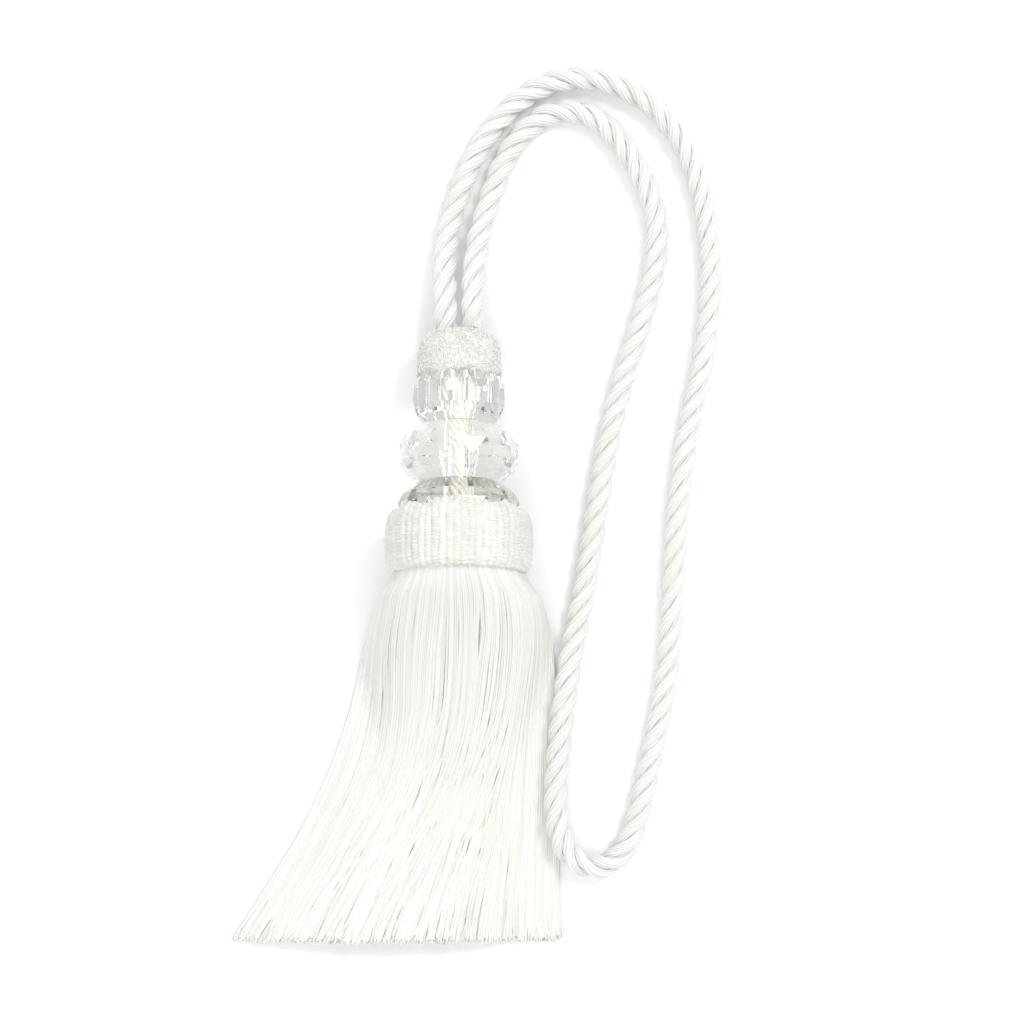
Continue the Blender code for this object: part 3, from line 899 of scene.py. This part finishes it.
def makeRuff():
    chance = random.Random(ruff["seed"])
    rows = np.array(ruffLine)
    knots = np.concatenate([[0], np.cumsum(np.linalg.norm(np.diff(rows, axis=0), axis=1))])
    line = splineThrough(knots, rows)
    steps = round(knots[-1] / ruff["wrapPitch"] * ruff["stepsPerWrap"])
    paths = []
    tones = []
    girths = []
    for column in range(ruff["columns"]):
        middle = -math.pi / 2 + math.tau * column / ruff["columns"]
        wave = math.sin(ruff["waves"] * middle + 2 * math.sin(2 * middle))
        lift = ruff["scallop"] * (wave + chance.uniform(-0.5, 0.5))
        lift -= ruff["sideDrop"] * math.cos(middle) ** 2
        sway = chance.uniform(-1, 1)
        drift = chance.uniform(0, math.tau)
        path = []
        for k, (place, radius) in enumerate(line(np.linspace(0, knots[-1], steps + 1))):
            share = k / steps
            aside = ruff["sway"] * sway * math.sin(3 * math.pi * share + drift) / radius
            path.append(headPoint(place + lift * share**3, radius, middle + aside))
        paths.append(path)
        tones.append([chance.random()] * len(path))
        girth = np.full(len(path), chance.uniform(*ruff["girths"]))
        wrap = np.arange(len(path)) / ruff["stepsPerWrap"]
        girth *= np.minimum(1.0, ruff["rootGirth"] + (1 - ruff["rootGirth"]) * wrap)
        girths.append(girth * mix(ruff["tipGirth"], 1.0, ease(wrap[::-1] / ruff["tipWraps"])))
    piece = grow("ruffColumns", pathMesh("ruffLines", paths, girths, tones), sweptYarn, {
        "Yarn radius": ruff["columnRadius"] * mm,
        "Sides": ruff["sides"],
        "Wrap pitch": ruff["wrapPitch"] * mm,
        "Wrap height": ruff["wrapHeight"] * mm,
        "Wrap unevenness": ruff["wrapUneven"],
        "Material": yarnMaterial("wrappedGimp", ruffLook),
    })
    restOnTable(piece)
    hangOn(piece, "ruff_gimp", "ruff")
    print("ruff is wrapped")


# skirt of cut rayon yarn
skirt = {
    "root": -6.0,
    "end": -127.5,
    "yarnRadius": 0.42,
    "midThick": 8.6,
    "edgeThick": 2.0,
    "edgeRound": 30,         # the higher, the closer to the edge the two sides of the fan meet
    "rightBulk": (0.84, 0.50),   # spread where the thin edge begins, and the swell's width
    "leftBulk": (1.0, 0.75),
    "heartPull": 0.93,       # how much narrower the fan's inside is
    "sideSettle": 0.30,      # run over which the round bundle settles into a flat fan, at its sides
    "topSettle": 0.80,       # and on top
    "uprightRun": 0.4,       # run over which the lean of the head fades out
    "clumps": 11,
    "clumpPull": 0.033,
    "clumpDrift": 1.5,
    "pointPower": 0.9,       # points lie a little closer towards the cut
    "ragged": 0.009,         # how far single ends differ, as a share of the length
    "raggedShares": (-0.6, 1.0),
    "tufts": 0.011,          # how far whole groups of ends differ
    "drift": 0.035,          # radians that a yarn strays round the bundle
    "driftPower": 1.5,
    "sweep": 0.6,            # how far the outer yarns bend to the left, radians at most
    "sweepShares": (0.3, 1.0),
    "sweepRight": (0.35, 0.7),   # angles over which the sweep sets in, on the right
    "sweepLeft": (3.0, 1.2),     # and fades out, on the left
    "sweepRun": (0.35, 0.65),
    "leftSeam": 0.001,       # radians that no yarn crosses at the two edges of the fan
    "rightSeam": 0.004,
    "looseFrom": 2.8,        # radians from the right edge to where yarns can stand off
    "edgeLoose": 0.3,        # share of the left edge's yarns that stand off
    "edgeAway": 1.2,
    "awayShares": (0.5, 1.0),
    "awayRun": (0.25, 0.6),
    "tips": 0.35,            # how far the cut ends stray
    "girths": (0.85, 1.15),
    "wander": 1.2,
    "wanderSize": 26.0,
    "slotReach": 12.0,       # mm to a radian
    "slotSoft": 2.2,         # mm over which the shift fades
    "slotOpen": 0.10,
    "slotClose": 0.12,
    "seed": 17,
    "firstSwirl": 4,         # seed of the first layer's wander
}
skirtLook = {  # cut rayon yarn: smooth and silky, cream in places
    "colour": "#F4F4F2", "shade": "#E8E7E1", "cream": "#F1ECE0", "creamShare": 0.4, "cloud": 26.0,
    "roughness": 0.38, "sheen": 0.3, "fibre": 0.6, "bump": 0.04,
}
fanRows = (
    # y, left x, right x, upright radius, height of the underside
    (-6.0, -18.6, 18.6, 18.4, 4.6),
    (-11.0, -18.9, 18.9, 19.3, 4.4),
    (-14.5, -22.6, 22.8, 18.9, 3.7),
    (-21.0, -26.2, 26.8, 17.7, 2.5),
    (-32.0, -30.2, 29.8, 15.8, 1.0),
    (-48.0, -33.8, 31.0, 13.8, 0.0),
    (-61.0, -37.1, 31.6, 12.2, 0.0),
    (-72.0, -40.6, 31.8, 11.0, 0.0),
    (-84.0, -46.2, 31.9, 10.0, 0.0),
    (-97.0, -53.4, 32.0, 9.0, 0.0),
    (-109.0, -60.8, 32.1, 8.4, 0.0),
    (-118.5, -67.0, 32.4, 8.0, 0.0),
    (-127.5, -73.0, 33.0, 8.0, 0.0),
)
skirtLayers = (
    # yarns, least depth, greatest depth, points, sides, unevenness of spacing, shares of sweep and slots
    (230, 0.990, 1.005, 26, 6, 0.3, 1.0, 1.0),
    (560, 0.945, 0.980, 20, 4, 0.8, 0.4, 1.0),
    (680, 0.870, 0.930, 16, 4, 0.8, 0.0, 1.0),
    (560, 0.720, 0.850, 14, 3, 0.8, 0.0, 0.3),
    (240, 0.250, 0.700, 12, 3, 0.8, 0.0, 0.3),
)
skirtSlots = (
    # angle in degrees, where it starts and ends along the skirt, half width in mm
    (75.0, 0.12, 0.30, 0.75),
    (66.5, 0.29, 0.38, 0.35),
    (61.5, 0.30, 0.46, 0.35),
    (98.0, 0.14, 0.50, 0.3),
    (90.5, 0.12, 0.30, 0.2),
    (120.0, 0.12, 0.44, 0.3),
    (147.0, 0.26, 0.60, 0.35),
    (140.0, 0.52, 0.72, 0.35),
)
fanAt = splineThrough([-row[0] for row in fanRows], [row[1:] for row in fanRows])


def skirtFlow(depth, angle, run):  # depth 0 to 1 outwards, angle round the head, run 0 to 1 down the skirt
    y = mix(skirt["root"], skirt["end"], run)
    left, right, radius, under = np.moveaxis(fanAt(-y), -1, 0)
    under = np.maximum(under, 0)
    # yarns draw together in clumps, which loosen again towards the cut
    pull = skirt["clumpPull"] * ease(run * 3) * mix(1.0, 0.5, ease(run * 2 - 1))
    angle = angle + pull * np.sin(skirt["clumps"] * angle + skirt["clumpDrift"] * np.sin(2 * angle))
    up = np.sin(angle)
    spread = 1 - 2 * np.abs(angle) / math.pi
    half = (right - left) / 2 - skirt["yarnRadius"]
    # the round bundle under the ruff settles into a flat fan on the table
    settle = ease(run / mix(skirt["sideSettle"], skirt["topSettle"], np.maximum(up, 0)))
    edge = np.where(spread > 0, skirt["rightBulk"][0], skirt["leftBulk"][0])
    swell = np.where(spread > 0, skirt["rightBulk"][1], skirt["leftBulk"][1])
    thick = mix(skirt["edgeThick"], skirt["midThick"], ease((edge - np.abs(spread)) / swell))
    x = mix(depth * np.cos(angle), mix(skirt["heartPull"], 1.0, depth) * spread, settle)
    sheet = np.sqrt(1 - np.minimum(np.abs(spread), 1) ** skirt["edgeRound"])
    flatZ = thick * (0.5 + np.sign(angle) * 0.5 * depth * sheet)
    z = mix(under + radius * (1 + depth * up), flatZ, settle)
    lean = math.sin(math.radians(head["tilt"])) * (1 - ease(run / skirt["uprightRun"]))
    return np.stack([(left + right) / 2 + half * x, y + radius * depth * up * lean, z], axis=-1)


def slotShift(angle, run):  # how far yarns make way for the dark slots, in mm towards the left
    shift = np.zeros_like(run + angle)
    for middle, start, end, width in skirtSlots:
        away = (angle - math.radians(middle)) * skirt["slotReach"]
        window = ease((run - start) / skirt["slotOpen"]) * ease((end - run) / skirt["slotClose"])
        shift += width * window * np.sign(away) * np.exp(-(away / skirt["slotSoft"]) ** 2)
    return shift


def skirtLines(layer, chance):
    count, low, high, points, sides, uneven, sweepShare, slotShare = skirtLayers[layer]
    spacing = np.arange(count) + 0.5 + uneven * chance.uniform(-0.5, 0.5, count)
    angle = -math.pi + spacing * math.tau / count
    depth = chance.uniform(low, high, count)
    # every yarn has its own length, and groups of neighbours are longer or shorter together
    tuft = np.sin(37 * angle + 2.1 * np.sin(11 * angle)) * np.sin(53 * angle + layer)
    end = 1 - skirt["ragged"] * chance.uniform(*skirt["raggedShares"], count) - skirt["tufts"] * tuft
    run = np.linspace(0, 1, points) ** skirt["pointPower"] * end[:, None]
    # it strays round the bundle, and the outer ones sweep to the left
    drift = chance.normal(0, skirt["drift"], count)[:, None] * run ** skirt["driftPower"]
    sweep = skirt["sweep"] * sweepShare * chance.uniform(*skirt["sweepShares"], count)
    right, left, down = skirt["sweepRight"], skirt["sweepLeft"], skirt["sweepRun"]
    sweep *= ease((angle - right[0]) / right[1]) * ease((left[0] - angle) / left[1])
    drift += sweep[:, None] * ease((run - down[0]) / down[1])
    back = math.pi - skirt["leftSeam"]
    front = skirt["rightSeam"]
    around = np.clip(angle[:, None] * np.ones_like(run) + drift, -back, back)
    around = np.where(angle[:, None] > 0, np.maximum(around, front), np.minimum(around, -front))
    lines = skirtFlow(depth[:, None], around, run)
    lines[..., 0] -= slotShift(around, run) * slotShare
    # some yarns of the outer layer stand off at the left edge, and all tips stray
    stray = chance.random(count) < skirt["edgeLoose"]
    loose = (np.abs(angle) > skirt["looseFrom"]) & stray & (layer == 0)
    away = (loose * chance.uniform(*skirt["awayShares"], count) * skirt["edgeAway"])[:, None]
    first, stretch = skirt["awayRun"]
    lines[..., 0] -= away * np.sin(math.pi * np.clip((run - first) / stretch, 0, 1)) ** 2
    lines[..., 2] = np.maximum(lines[..., 2], skirt["yarnRadius"])
    tips = chance.normal(0, skirt["tips"], (count, 2))
    lines[:, -1, 0] += tips[:, 0]
    lines[:, -1, 2] += np.abs(tips[:, 1])
    tones = np.repeat(chance.random(count)[:, None], points, axis=1)
    girths = np.repeat(chance.uniform(*skirt["girths"], count)[:, None], points, axis=1)
    return pathMesh("skirtLines", lines, girths, tones), sides


def makeSkirt():
    chance = np.random.default_rng(skirt["seed"])
    material = yarnMaterial("rayonYarn", skirtLook)
    for layer in range(len(skirtLayers)):
        lines, sides = skirtLines(layer, chance)
        piece = grow("skirtLayer" + str(layer + 1), lines, sweptYarn, {
            "Yarn radius": skirt["yarnRadius"] * mm,
            "Sides": sides,
            "Wander": skirt["wander"] * mm,
            "Wander size": skirt["wanderSize"] * mm,
            "Seed": skirt["firstSwirl"] + layer,
            "Material": material,
        })
        restOnTable(piece)
        hangOn(piece, "skirt_yarn", "skirt")
    print("skirt is spread")


makeCore()
makeBeads()
makeCollar()
makeRuff()
makeSkirt()
